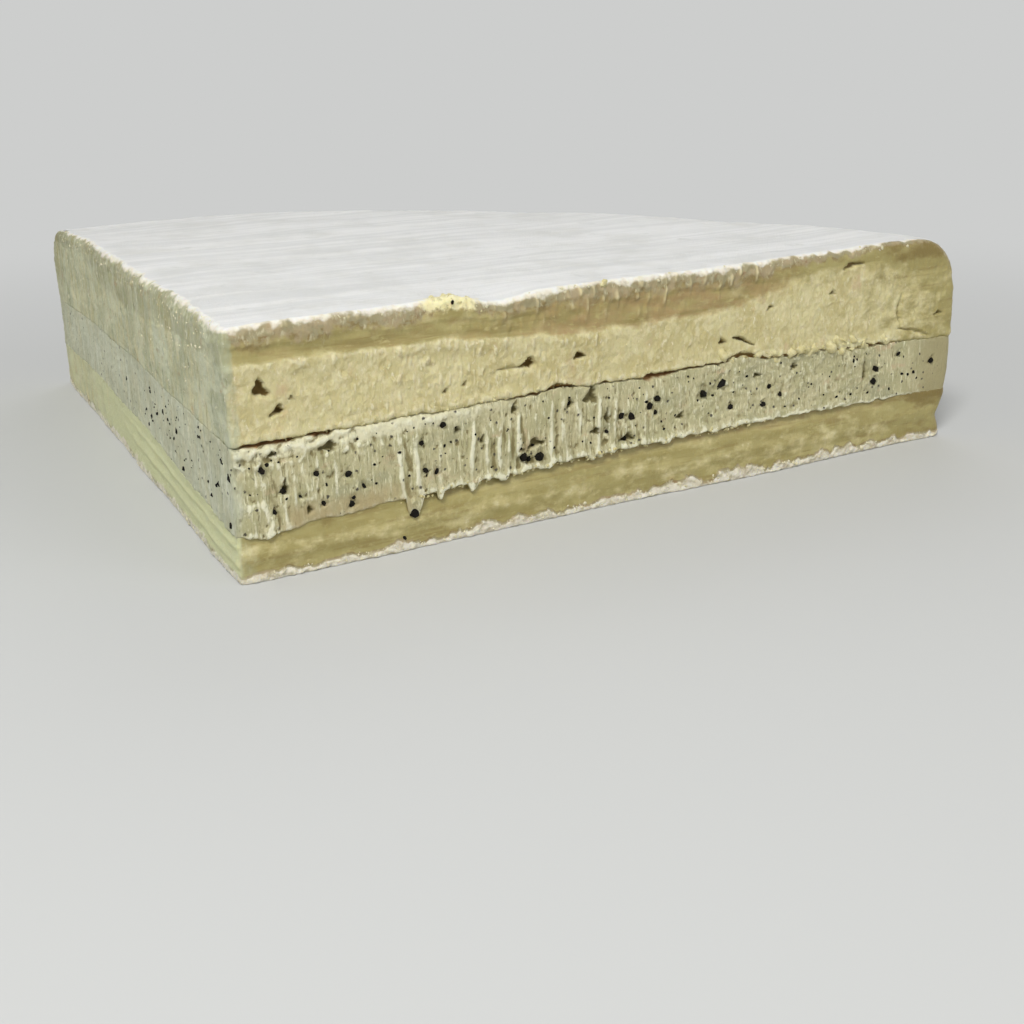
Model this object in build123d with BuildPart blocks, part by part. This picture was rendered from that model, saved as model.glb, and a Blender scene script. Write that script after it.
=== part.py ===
"""A wedge of truffle-filled brie: a soft white-rinded cheese that was split level through the middle,
spread with truffle cream, closed again and cut from the wheel like a slice of cake.

Millimetres. The wedge stands on its lower rind at Z = 0 and points its tip towards -Y, with its bisector
along +Y. The origin is the middle of the box that it fills, on the surface that it stands on.
Every layer is one cross-section, drawn from the wheel's axis out to the rim and turned through the wedge's
opening angle, so neighbouring layers share the same curve and lie face to face.
"""

import os
from math import cos, radians, sin

from build123d import *

# The wedge as a whole
wedge_height = 38.0
opening_angle = 86.0  # between the two cut faces, in degrees
rim_radius = 145.0  # from the wheel's axis to the widest part of the rim

# The level where the truffle cream meets the lower half, which sags towards the tip
cream_floor_at_tip = 7.2
cream_floor_in_body = 10.2
cream_floor_at_rim = 9.4

# The cream's own thickness, from that floor up to the upper half
cream_depth_at_tip = 13.3
cream_depth_in_body = 11.1
cream_depth_at_rim = 10.2

# The rim
shoulder_reach = 13.0  # how far in from the rim the flat top rind ends
shoulder_drop = 13.0  # how far down from the top the rim gets back to its full width
seam_inset = 0.5  # how far the rim has drawn in where the cream meets the lower half
groove_start = 0.35  # share of the cream's thickness over which it starts to draw in
waist_inset = 2.1  # how far it is drawn in at its narrowest
waist_height = 4.0
foot_spread = 1.1  # how far the lower half widens again where it stands
foot_radius = 1.0  # rounding of the lower edge of the rim

# The body of each layer is measured this far out from the axis, as a share of the rim's radius
body_station = 0.6

wheel_axis_y = -rim_radius / 2
first_cut = 90.0 - opening_angle / 2  # direction of the first cut face, from +X
seam_radius = rim_radius - seam_inset
waist_radius = rim_radius - waist_inset
body_radius = body_station * rim_radius

floor_tip = (0, cream_floor_at_tip)
floor_body = (body_radius, cream_floor_in_body)
floor_rim = (seam_radius, cream_floor_at_rim)
roof_tip = (0, cream_floor_at_tip + cream_depth_at_tip)
roof_body = (body_radius, cream_floor_in_body + cream_depth_in_body)
roof_rim = (rim_radius, cream_floor_at_rim + cream_depth_at_rim)

wheel_axis = Axis((0, wheel_axis_y, 0), (0, 0, 1))
cut_plane = Plane(
    origin=(0, wheel_axis_y, 0),
    x_dir=(cos(radians(first_cut)), sin(radians(first_cut)), 0),
    z_dir=(sin(radians(first_cut)), -cos(radians(first_cut)), 0),
)


# Lower half: the thinner slab, on its own rind, with a waist above the foot that its weight has spread
foot_out = waist_radius + foot_spread
foot_in = (foot_out - foot_radius, 0)
foot_side = (foot_out, foot_radius)
waist = (waist_radius, waist_height)

with BuildPart() as lower_half:
    with BuildSketch(cut_plane):
        with BuildLine():
            Line((0, 0), foot_in)
            RadiusArc(foot_in, foot_side, -foot_radius)
            Spline(foot_side, waist, floor_rim, tangents=[(0, 1), (0, 1)])
            ThreePointArc(floor_rim, floor_body, floor_tip)
            Line(floor_tip, (0, 0))
        make_face()
    revolve(axis=wheel_axis, revolution_arc=opening_angle)
lower_half.part.label = "lower_half"


# Truffle cream: the filling, which reaches the rim all round and is drawn in at its lower edge
cream_side = (rim_radius, floor_rim[1] + groove_start * cream_depth_at_rim)

with BuildPart() as truffle_cream:
    with BuildSketch(cut_plane):
        with BuildLine():
            ThreePointArc(floor_tip, floor_body, floor_rim)
            Spline(floor_rim, cream_side, tangents=[(0, 1), (0, 1)])
            Line(cream_side, roof_rim)
            ThreePointArc(roof_rim, roof_body, roof_tip)
            Line(roof_tip, floor_tip)
        make_face()
    revolve(axis=wheel_axis, revolution_arc=opening_angle)
truffle_cream.part.label = "truffle_cream"


# Upper half: the thicker slab, with a flat top rind that rolls over a soft shoulder into the rim
top_tip = (0, wedge_height)
top_edge = (rim_radius - shoulder_reach, wedge_height)
shoulder_foot = (rim_radius, wedge_height - shoulder_drop)

with BuildPart() as upper_half:
    with BuildSketch(cut_plane):
        with BuildLine():
            ThreePointArc(roof_tip, roof_body, roof_rim)
            Line(roof_rim, shoulder_foot)
            Spline(shoulder_foot, top_edge, tangents=[(0, 1), (-1, 0)])
            Line(top_edge, top_tip)
            Line(top_tip, roof_tip)
        make_face()
    revolve(axis=wheel_axis, revolution_arc=opening_angle)
upper_half.part.label = "upper_half"


os.makedirs("parts", exist_ok=True)
for piece in (lower_half.part, truffle_cream.part, upper_half.part):
    export_step(piece, f"parts/{piece.label}.step")
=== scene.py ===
"""The looks of a wedge of truffle-filled brie, built around its three construction solids.

The wedge stands on its lower rind with its tip towards -Y. Sizes are millimetres and `mm` turns them to
metres, apart from the floor and the lamps, which are in metres. After the studio the sections go down through
the cheese: the upper half, the truffle cream, the lower half, and then what lies on them.
"""

from collections import namedtuple
from math import asin, ceil, cos, pi, radians, sin, sqrt, tan

import bmesh
import bpy
import numpy as np
from mathutils import Matrix, Vector
from mathutils.geometry import delaunay_2d_cdt


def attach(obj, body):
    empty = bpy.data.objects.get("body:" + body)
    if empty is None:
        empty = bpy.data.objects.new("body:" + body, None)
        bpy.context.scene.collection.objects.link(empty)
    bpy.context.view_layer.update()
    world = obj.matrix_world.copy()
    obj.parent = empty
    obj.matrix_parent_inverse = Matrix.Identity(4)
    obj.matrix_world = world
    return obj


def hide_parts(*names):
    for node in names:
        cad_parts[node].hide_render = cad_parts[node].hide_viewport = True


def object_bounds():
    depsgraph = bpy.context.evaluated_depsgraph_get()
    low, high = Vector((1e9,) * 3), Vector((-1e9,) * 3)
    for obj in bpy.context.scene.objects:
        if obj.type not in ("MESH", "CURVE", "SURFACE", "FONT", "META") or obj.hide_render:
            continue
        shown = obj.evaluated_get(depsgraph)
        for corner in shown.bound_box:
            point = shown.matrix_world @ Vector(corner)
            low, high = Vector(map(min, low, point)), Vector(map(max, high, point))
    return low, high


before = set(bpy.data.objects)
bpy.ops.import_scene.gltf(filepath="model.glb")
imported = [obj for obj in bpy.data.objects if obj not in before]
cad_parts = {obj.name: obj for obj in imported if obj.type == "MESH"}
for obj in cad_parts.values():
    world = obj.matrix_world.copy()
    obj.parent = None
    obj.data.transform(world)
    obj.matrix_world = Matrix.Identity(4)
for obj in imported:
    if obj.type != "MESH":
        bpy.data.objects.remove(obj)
cad_low, cad_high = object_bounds()


# Studio: a pale matt floor, a small lamp high behind the camera, three broad weaker ones on the left, on the
# right and at the back, and an even pale world. The camera looks down on the right-hand cut face, with the
# tip in the left quarter of its view.
mm = 0.001


def linear(hex_colour):
    """An sRGB hex colour as linear RGBA."""
    parts = [int(hex_colour[i : i + 2], 16) / 255 for i in (1, 3, 5)]
    return [p / 12.92 if p <= 0.04045 else ((p + 0.055) / 1.055) ** 2.4 for p in parts] + [1.0]


def add(tree, kind, inputs=None, **settings):
    """Adds a shader node with its settings, and links or sets its inputs."""
    made = tree.nodes.new(kind)
    for name, value in settings.items():
        setattr(made, name, value)
    for name, value in (inputs or {}).items():
        if isinstance(value, bpy.types.NodeSocket):
            tree.links.new(value, made.inputs[name])
        else:
            made.inputs[name].default_value = value
    return made


def new_material(name, sockets):
    """A material with these values on its shader's own sockets, and with it its nodes and its shader."""
    made = bpy.data.materials.new(name)
    made.use_nodes = True
    shader = made.node_tree.nodes["Principled BSDF"]
    for socket, value in sockets.items():
        shader.inputs[socket].default_value = value
    return made, made.node_tree, shader


def in_scene(name, data):
    """A new object in the scene."""
    made = bpy.data.objects.new(name, data)
    bpy.context.scene.collection.objects.link(made)
    return made


camera_place = Vector((89.7, -235.5, 74.6)) * mm
camera_turned_left, camera_tilted_down, camera_rolled = radians(16.55), radians(19.33), radians(0.9)
camera = in_scene("camera", bpy.data.cameras.new("camera"))
camera.data.sensor_width = 36
camera.data.lens = 47.46
camera.data.clip_start = 1 * mm
ahead = Vector(
    (
        -sin(camera_turned_left) * cos(camera_tilted_down),
        cos(camera_turned_left) * cos(camera_tilted_down),
        -sin(camera_tilted_down),
    )
)
to_right = Vector((cos(camera_turned_left), sin(camera_turned_left), 0))
upwards = to_right.cross(ahead)
rolled_right = to_right * cos(camera_rolled) - upwards * sin(camera_rolled)
rolled_up = upwards * cos(camera_rolled) + to_right * sin(camera_rolled)
camera_axes = Matrix((rolled_right, rolled_up, -ahead)).transposed().to_4x4()
camera.matrix_world = Matrix.Translation(camera_place) @ camera_axes
bpy.context.scene.camera = camera

floor_reach, floor_corners = 4.0, 96
floor_mesh = bpy.data.meshes.new("studio_floor")
turns = np.linspace(0, 2 * pi, floor_corners, endpoint=False)
floor_edge = [(floor_reach * cos(a), floor_reach * sin(a), 0) for a in turns]
floor_mesh.from_pydata(floor_edge, [], [range(floor_corners)])
floor = in_scene("studio_floor", floor_mesh)
# Matt grey paper: without gloss, so it takes the wedge's soft shadow and nothing else
matt_paper, tree, paper_shader = new_material(
    "matt_grey_paper", {"Base Color": linear("#c6c7c5"), "Roughness": 0.9, "Specular IOR Level": 0.2}
)
backdrop_colour = linear("#cdcecd")
lit_reach, plain_reach = 0.13, 0.42  # the floor turns to plain backdrop between these distances, in metres
lit_middle = (0.03, -0.09, 0)
from_wedge = add(
    tree,
    "ShaderNodeVectorMath",
    {0: add(tree, "ShaderNodeTexCoord").outputs["Object"], 1: lit_middle},
    operation="DISTANCE",
)
far_away = add(
    tree,
    "ShaderNodeMapRange",
    {"Value": from_wedge.outputs["Value"], "From Min": lit_reach, "From Max": plain_reach},
    interpolation_type="SMOOTHSTEP",
)
looked_at = add(tree, "ShaderNodeLightPath").outputs["Is Camera Ray"]
plain = add(tree, "ShaderNodeMath", {0: far_away.outputs[0], 1: looked_at}, operation="MULTIPLY")
backdrop = add(tree, "ShaderNodeEmission", {"Color": backdrop_colour})
shaders = {0: plain.outputs[0], 1: paper_shader.outputs[0], 2: backdrop.outputs[0]}
paper_mix = add(tree, "ShaderNodeMixShader", shaders)
tree.links.new(paper_mix.outputs[0], tree.nodes["Material Output"].inputs["Surface"])
floor_mesh.materials.append(matt_paper)


def lamp(name, place, size, watts):
    """A square soft lamp that faces the middle of the wedge."""
    light = bpy.data.lights.new(name, "AREA")
    light.size = size
    light.energy = watts
    made = in_scene(name, light)
    made.location = place
    made.rotation_euler = (Vector((0, -0.02, 0.02)) - Vector(place)).to_track_quat("-Z", "Y").to_euler()


lamp("key_lamp", (0.05, -0.50, 0.55), 0.18, 3.7)
lamp("fill_lamp", (-0.80, -0.20, 0.40), 0.60, 0.7)
lamp("side_lamp", (0.80, -0.20, 0.35), 0.50, 1.3)
lamp("back_lamp", (-0.15, 0.85, 0.60), 0.60, 1.6)

world = bpy.data.worlds.new("pale_room")
world.use_nodes = True
room = world.node_tree
room_light = room.nodes["Background"]
room_light.inputs["Color"].default_value = (1, 1, 1, 1)
room_light.inputs["Strength"].default_value = 0.36
backdrop = add(room, "ShaderNodeBackground", {"Color": backdrop_colour, "Strength": 1.0})
ray = add(room, "ShaderNodeLightPath").outputs
seen = ray["Is Camera Ray"]
for kind in ("Is Glossy Ray", "Is Transmission Ray"):
    seen = add(room, "ShaderNodeMath", {0: seen, 1: ray[kind]}, operation="MAXIMUM").outputs[0]
room_mix = add(room, "ShaderNodeMixShader", {0: seen, 1: room_light.outputs[0], 2: backdrop.outputs[0]})
room.links.new(room_mix.outputs[0], room.nodes["World Output"].inputs["Surface"])
bpy.context.scene.world = world
bpy.context.scene.view_settings.view_transform = "Standard"


# Upper half: the thicker slab of the split wheel, soft ripened cow's-milk paste under a white bloomy rind.
# A wire or knife cut it, so its faces wander a little, are scratched downwards, and show the rind's section,
# the glassy ripe band under it and then the chalky middle. It lies on the cream, with a crack that gapes.
solids = {name: np.array([v.co for v in node.data.vertices]) / mm for name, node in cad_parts.items()}
axis_y = cad_low.y / mm
rim_radius = max(np.hypot(points[:, 0], points[:, 1] - axis_y).max() for points in solids.values())
top_level = cad_high.z / mm
half_angle = asin((cad_high.x - cad_low.x) / mm / 2 / rim_radius)
right_way, left_way = pi / 2 - half_angle, pi / 2 + half_angle


def on_right_cut(points):
    """The solid's corners on the right-hand cut face, as distance from the wheel's axis and height."""
    reach = np.hypot(points[:, 0], points[:, 1] - axis_y)
    way = np.arctan2(points[:, 1] - axis_y, points[:, 0])
    kept = (reach < 0.01) | (np.abs(way - right_way) < 1e-4)
    return np.unique(np.round(np.column_stack([reach, points[:, 2]])[kept], 2), axis=0)


sections = {name: on_right_cut(points) for name, points in solids.items()}


def level_between(lower, upper):
    """The height at which two layers meet, as a polynomial in the distance from the axis."""
    shared = {tuple(p) for p in sections[lower]} & {tuple(p) for p in sections[upper]}
    return np.poly1d(np.polyfit(*np.array(sorted(shared)).T, 2))


cream_floor = level_between("lower_half", "truffle_cream")
cream_roof = level_between("truffle_cream", "upper_half")
corners = np.vstack(list(sections.values()))
flat_top_reach = corners[corners[:, 1] > top_level - 0.01, 0].max()
rim_line = np.unique(corners[corners[:, 0] >= flat_top_reach - 0.01], axis=0)
rim_line = rim_line[np.argsort(rim_line[:, 1], kind="stable")]

tip_round = 1.1
corner_round = 2.4
steady_reach = 90.0  # out to here the columns of mesh stand upright, and beyond it they follow the rim in
right_pitch, left_pitch, rim_pitch, round_steps = 0.28, 0.44, 1.3, 6


def grain(points, lump, seed):
    """Smooth noise from -1 to 1. Its lumps are `lump` millimetres across, one number or one for each axis."""
    q = points / (np.ones(3) * lump) + 17.31 * seed
    cell = np.floor(q).astype(np.int64)
    f = q - cell
    ease = f * f * f * (f * (f * 6 - 15) + 10)
    total = np.zeros(len(points))
    # a whole-number hash of each corner of the cell gives the slope of the noise there
    for corner in np.ndindex(2, 2, 2):
        c = cell + corner
        h = (c[:, 0] * 374761393 + c[:, 1] * 668265263 + c[:, 2] * 1440662683 + seed * 982451653) & 0xFFFFFFFF
        h = ((h ^ (h >> 15)) * 2246822519) & 0xFFFFFFFF
        h = ((h ^ (h >> 13)) * 3266489917) & 0xFFFFFFFF
        h ^= h >> 16
        slope = np.column_stack([h & 1023, (h >> 10) & 1023, (h >> 20) & 1023]) / 511.5 - 1
        weight = np.prod(np.where(corner, ease, 1 - ease), axis=1)
        total += weight * ((f - corner) * slope).sum(axis=1)
    return np.clip(total * 1.5, -1, 1)


def ramp(x, start, end):
    """0 before start, 1 after end, and a soft slope between. Start may be the larger."""
    t = np.clip((x - start) / (end - start), 0, 1)
    return t * t * (3 - 2 * t)


def hump(x, centre, width):
    return np.exp(-(((x - centre) / width) ** 2))


def rounded_edge(depth, radius):
    """How far a rounded edge has fallen back at this depth below it."""
    t = np.clip(1 - depth / radius, 0, 1)
    return radius * (1 - np.sqrt(1 - t * t))


# Points on the wedge's side: their distance from the wheel's axis, their height, their place, the way out
# from the axis, and how much each belongs to the right-hand cut, to the left-hand cut and to the rim, 0 to 1
Spot = namedtuple("Spot", "reach height place radial right left rim")


def way_to(angle):
    return np.array([cos(angle), sin(angle)])


def turn(rim):
    """One turn round the wedge, against the clock from the tip: plan points and outward directions."""
    inner = rim - corner_round
    cut_end = sqrt(inner**2 - corner_round**2)
    lean = asin(corner_round / inner)
    tip_start = tip_round / tan(half_angle)
    full_end = sqrt((rim_radius - corner_round) ** 2 - corner_round**2)
    points, out = [], []
    for way, pitch, side in ((right_way, right_pitch, -1), (left_way, left_pitch, 1)):
        along, normal = way_to(way), way_to(way + side * pi / 2)
        reach = np.linspace(tip_start, full_end, ceil((full_end - tip_start) / pitch))
        squeeze = (cut_end - steady_reach) / (full_end - steady_reach)
        reach = np.where(reach < steady_reach, reach, steady_reach + (reach - steady_reach) * squeeze)
        line = np.outer(reach, along)
        facing = np.tile(normal, (len(reach), 1))
        swing = np.linspace(0, 1, round_steps + 1)[1:-1] * (pi / 2 + lean)
        directions = np.array([way_to(way + side * (pi / 2 - a)) for a in swing])
        rounding = cut_end * along - corner_round * normal + corner_round * directions
        if side > 0:
            line, facing, rounding, directions = line[::-1], facing[::-1], rounding[::-1], directions[::-1]
            rim_points = ceil(rim_radius * 2 * half_angle / rim_pitch)
            arc = np.linspace(right_way + lean, left_way - lean, rim_points)
            directions_rim = np.column_stack([np.cos(arc), np.sin(arc)])
            points += [directions_rim * rim, rounding, line]
            out += [directions_rim, directions, facing]
        else:
            points += [line, rounding]
            out += [facing, directions]
    tip_angles = np.linspace(left_way + pi / 2, right_way + 3 * pi / 2, round_steps + 2)[1:-1]
    tip_out = np.column_stack([np.cos(tip_angles), np.sin(tip_angles)])
    points.append([0, tip_round / sin(half_angle)] + tip_round * tip_out)
    out.append(tip_out)
    return np.vstack(points) + [0, axis_y], np.vstack(out)


full_turn, full_out = turn(rim_radius)
stations = len(full_turn)
facing_right = np.clip(full_out @ way_to(right_way - pi / 2), 0, 1) ** 2
facing_left = np.clip(full_out @ way_to(left_way + pi / 2), 0, 1) ** 2
at_tip = np.hypot(*(full_turn - [0, axis_y]).T) < 3 * tip_round
facing_rim = np.where(at_tip, 0, np.clip(1 - facing_right - facing_left, 0, 1))
share = facing_right + facing_left + facing_rim
facing_right, facing_left, facing_rim = facing_right / share, facing_left / share, facing_rim / share


def spots(plan, heights):
    """What the relief needs to know about points round the wedge, one turn at a time."""
    from_axis = plan - [0, axis_y]
    reach = np.hypot(*from_axis.T)
    place = np.column_stack([plan, np.broadcast_to(heights, len(plan))])
    count = len(plan) // stations
    return Spot(
        reach,
        place[:, 2],
        place,
        from_axis / np.maximum(reach, 0.01)[:, None],
        np.tile(facing_right, count),
        np.tile(facing_left, count),
        np.tile(facing_rim, count),
    )


def side_rows(low, high, rise, run):
    """Heights and rim radii of a layer's rows of mesh, at most `rise` apart upwards and `run` along it."""
    fine_steps = 2000
    heights = np.linspace(low, high, fine_steps)
    radii = np.interp(heights, rim_line[:, 1], rim_line[:, 0])
    climb, along = np.diff(heights), np.hypot(np.diff(heights), np.diff(radii))
    cost = np.concatenate([[0], np.cumsum(np.maximum(climb / rise, along / run))])
    stops = np.linspace(0, cost[-1], ceil(cost[-1]) + 1)
    return np.interp(stops, cost, heights), np.interp(stops, cost, radii)


def inset(plan, depth):
    """The same turn drawn in by about `depth` all round, towards the middle of the wedge."""
    middle_reach, middle_room = 0.62 * rim_radius, 0.41 * rim_radius
    middle = np.array([0, axis_y + middle_reach])
    return middle + (plan - middle) * (1 - depth / middle_room)


def fill(ring, along, across, laid):
    """Points inside a ring, on a grid that lies along the right-hand cut, and the triangles that fill it.
    `laid` gives points of a plan their height. Triangles whose corners run backwards round the ring lie
    outside it, and are dropped."""
    loop = ring[:, :2]
    way = way_to(right_way)
    normal = way_to(left_way + pi / 2 - 2 * half_angle)
    a, b = np.meshgrid(np.arange(0, rim_radius, along), np.arange(0, rim_radius, across))
    a = a + 0.5 * along * (np.arange(len(a)) % 2)[:, None]
    grid = a.reshape(-1, 1) * way + b.reshape(-1, 1) * normal + [0, axis_y]
    edges = np.roll(loop, -1, axis=0) - loop
    kept = np.ones(len(grid), bool)
    margin = 0.6 * min(along, across)
    for start, edge in zip(loop, edges):
        t = np.clip(((grid - start) @ edge) / max(edge @ edge, 1e-9), 0, 1)
        kept &= np.hypot(*(grid - start - t[:, None] * edge).T) > margin
    x, y = grid.T
    inside = np.zeros(len(grid), bool)
    for (x1, y1), (x2, y2) in zip(loop, np.roll(loop, -1, axis=0)):
        if y1 != y2:
            inside ^= ((y1 > y) != (y2 > y)) & (x < (x2 - x1) * (y - y1) / (y2 - y1) + x1)
    grid = grid[kept & inside]
    flat = [Vector(p) for p in np.vstack([loop, grid])]
    placed, _, faces, came_from, _, _ = delaunay_2d_cdt(flat, [], [list(range(len(loop)))], 1, 1e-6, True)
    if len(placed) != len(flat):
        raise ValueError("two points of a filled loop fell together")
    source = [ids[0] for ids in came_from]
    faces = np.array([[source[i] for i in face] for face in faces])
    on_loop = (faces < len(loop)).all(axis=1)
    rising = (np.roll(faces, -1, axis=1) > faces).sum(axis=1) == 2
    return laid(grid), faces[~on_loop | rising]


def between_rings(count):
    """The quads between rings of points that lie one above the other."""
    ring = np.arange(stations)
    quads = [
        np.column_stack([ring + k * stations, np.roll(ring, -1) + k * stations])[:, [0, 1, 1, 0]]
        + [0, 0, stations, stations]
        for k in range(count - 1)
    ]
    return np.vstack(quads)


def closed_piece(name, below, side, above, under, over, fields, materials, pick=lambda row, station: 0 * row):
    """One closed mesh from rings of points, bottom to top: those below its side, the side's own and those
    above it. `under` and `over` fill its ends. `fields` are numbers that the materials read: on the side, on
    the rings below it and on those above. `pick` gives each face between rings its material, and the fills
    have the last one."""
    rings = np.vstack([*below, side, *above])
    count = len(rings) // stations
    quads = between_rings(count)
    first_under = len(rings)
    first_over = first_under + len(under[0])
    points = np.vstack([rings, under[0], over[0]])
    ids = np.where(under[1] < stations, under[1], under[1] - stations + first_under)
    under_faces = ids[:, ::-1]
    on_last_ring = over[1] + (count - 1) * stations
    over_faces = np.where(over[1] < stations, on_last_ring, over[1] - stations + first_over)
    mesh = bpy.data.meshes.new(name)
    faces = quads.tolist() + under_faces.tolist() + over_faces.tolist()
    mesh.from_pydata((points * mm).tolist(), [], faces)
    for field, (on_side, on_below, on_above) in fields.items():
        values = [np.full(len(below) * stations, on_below), on_side, np.full(len(above) * stations, on_above)]
        values = np.concatenate([*values, np.zeros(len(points) - len(rings))])
        mesh.attributes.new(field, "FLOAT", "POINT").data.foreach_set("value", values.astype(np.float32))
    for material in materials:
        mesh.materials.append(material)
    row, station = np.divmod(np.arange(len(quads)), stations)
    chosen = np.append(pick(row, station), np.full(len(faces) - len(quads), len(materials) - 1))
    mesh.polygons.foreach_set("material_index", chosen.astype(np.int32))
    mesh.polygons.foreach_set("use_smooth", np.ones(len(faces), bool))
    mesh.update()
    return in_scene(name, mesh)


def laid_on(level):
    """Gives points of a plan their height, on a level that varies with the distance from the axis."""
    return lambda plan: np.column_stack([plan, level(np.hypot(*(plan - [0, axis_y]).T))])


def drawn_in(edge, level, risen, steps):
    """Rings drawn in from a side's edge, each by its depth. Each keeps a share of how far the edge has risen
    over the level."""
    rings = [(laid_on(level)(inset(edge[:, :2], depth)), kept) for depth, kept in steps]
    return [ring + np.outer(kept * risen, [0, 0, 1]) for ring, kept in rings]


def raised_side(low, high, rise, run, bottom, top, relief):
    """A layer's side with its relief. `bottom` and `top` say how high its edges run round the wedge. Gives
    its points before the relief, how far each stands out, the points with it, and both edges' heights."""
    heights, radii = side_rows(low, high, rise, run)
    plans, outs = zip(*(turn(r) for r in radii))
    lower_edge, upper_edge = bottom(spots(plans[0], 0)), top(spots(plans[-1], 0))
    up_the_side = (heights - heights[0]) / (heights[-1] - heights[0])
    levels = np.concatenate([lower_edge + v * (upper_edge - lower_edge) for v in up_the_side])
    side = spots(np.vstack(plans), levels)
    stands_out = relief(side)
    points = np.column_stack([side.place[:, :2] + np.vstack(outs) * stands_out[:, None], side.height])
    return side, stands_out, points, lower_edge, upper_edge


def knife_wander(at):
    """The slow waviness of a cut through soft cheese, which runs on through every layer."""
    return 0.45 * grain(at.place, 26, 1) + 0.13 * grain(at.place, 7, 2)


def rim_swell(at):
    """The soft bulges and wrinkles of the wheel's rim."""
    slow = 0.8 * grain(at.place, 19, 3) + 0.3 * grain(at.place, (6, 6, 3.5), 4)
    return slow + 0.14 * grain(at.place, 1.7, 5)


def on_floor(at):
    """The same points at height 0, for what only varies round the wedge."""
    return np.column_stack([at.place[:, :2], np.zeros(len(at.place))])


# how far the crack gapes on the right-hand cut, at distances from the tip
crack_reach, crack_gape = np.array(
    [
        (0.0, 0.1), (1.4, 0.2), (2.2, 0.6), (5.5, 0.95), (8.6, 0.75), (9.6, 0.1), (11.6, 0.1), (12.4, 0.75),
        (14.8, 0.8), (15.6, 0.1), (20.0, 0.04), (28.5, 0.02), (31.0, 0.2), (34.5, 0.02), (44.0, 0.04),
        (46.0, 0.26), (49.5, 0.3), (51.0, 0.7), (51.8, 0.1), (52.6, 0.06), (54.0, 0.85), (57.0, 0.4),
        (59.0, 0.05), (63.0, 0.22), (71.6, 0.25), (72.4, 2.0), (74.6, 1.5), (78.6, 0.3), (84.0, 0.2),
        (89.0, 0.35), (93.0, 1.1), (96.0, 0.45), (103.0, 0.3), (108.0, 0.55), (112.0, 0.25), (119.0, 0.6),
        (123.5, 0.7), (127.0, 0.2), (131.0, 0.02),
    ]
).T


def crack(at):
    """Height of the crack between the upper half and the cream, and how far it gapes."""
    flat = on_floor(at)
    frayed = ramp(at.reach, 84, 92) * ramp(at.reach, 130, 122)
    wander = 0.35 * grain(flat, 7, 21) + (0.22 + 0.35 * frayed) * grain(flat, 1.9, 22)
    wander = wander + 0.2 * grain(flat, 0.8, 25)
    lifted = 0.9 * hump(at.reach, 55, 3.0) + 1.5 * hump(at.reach, 92.5, 3.5)
    gape = np.interp(at.reach, crack_reach, crack_gape)
    gape = gape * (1 + 0.6 * grain(flat, 1.1, 23)) * (1 + 0.5 * grain(flat, 0.55, 24))
    return cream_roof(at.reach) + at.right * (wander + lifted) * ramp(at.reach, 0.5, 2.5), at.right * gape


def crack_lip(at, share):
    """Height of a lip of the crack, which lies a share of the gape above the crack's own path."""
    path, gape = crack(at)
    return path + share * gape


def seam(at, away, gape):
    """How far a layer's edge has fallen back at the crack, at points that lie `away` from it."""
    least_gape, soft = 0.03, 0.3 + 0.35 * np.clip(gape, 0, 1)
    closed, at_rim = 0.25 - 0.2 * at.left, at.rim * 0.5 * hump(away, 0, 1.2)
    return rounded_edge(away, soft) * np.where(gape > least_gape, 1, closed) + at_rim


def on_cuts(at, right, left):
    """The relief of both cut faces, on top of the knife's wander."""
    return at.right * right + at.left * left + (at.right + at.left) * knife_wander(at)


def hollow(at, reach, height, wide, tall, depth, seed, lean=0.0):
    """A ragged hole in the right-hand cut, steep at its edge, nearly a triangle with its point upwards."""
    x = (at.reach - reach) / wide
    z = (at.height - height) / tall + lean * x
    way = np.arctan2(z, x)
    away = np.hypot(x, z) * (1 + 0.3 * np.cos(3 * way - pi / 2 + sin(seed)))
    away = away + 0.25 * grain(at.place, 0.7, seed)
    return -depth * at.right * ramp(away, 1.1, 0.75)


# holes in the paste on the right-hand cut: distance from the tip, height, half width, half height, lean and
# depth
paste_holes = [
    (5.3, 28.6, 1.0, 1.15, 0.3, 1.5), (7.6, 25.2, 0.85, 0.6, -0.5, 1.5), (49.4, 26.6, 1.2, 0.75, -0.3, 1.5),
    (46.0, 26.3, 1.8, 0.24, 0.0, 0.6), (58.9, 26.6, 0.95, 0.55, 0.0, 1.5), (88.2, 25.3, 0.6, 0.5, 0.4, 1.3),
    (92.6, 25.0, 1.9, 0.3, 2.6, 1.2), (112.8, 31.0, 0.6, 0.35, 0.0, 1.2), (129.8, 26.2, 0.5, 2.6, 0.2, 0.75),
    (133.8, 21.8, 3.4, 0.28, 3.0, 0.7), (139.6, 24.6, 0.8, 0.4, 0.0, 1.2), (98.5, 30.0, 0.8, 0.3, -0.5, 1.0),
    (117.5, 35.2, 2.2, 0.35, -0.5, 1.0), (9.8, 26.8, 0.35, 0.3, 0.0, 1.0), (34.6, 24.2, 0.4, 0.3, 0.0, 1.0),
    (38.0, 24.9, 0.35, 0.4, 0.0, 1.0),
]


def rind_wear(at):
    """How unevenly thick the rind's section is, in millimetres."""
    slow = 0.7 * grain(at.place, (6, 6, 20), 30) + 0.6 * grain(at.place, (2.2, 2.2, 3), 31)
    return slow + 0.35 * grain(at.place, (0.9, 0.9, 1.4), 32)


def rind_depth(at):
    """How thick the rind's section is on the cuts."""
    return np.interp(at.reach, (0, 28, 34, 46, 58, 90, 104, 125), (3.0, 2.9, 1.6, 2.3, 3.0, 3.1, 1.6, 0.9))


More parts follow.
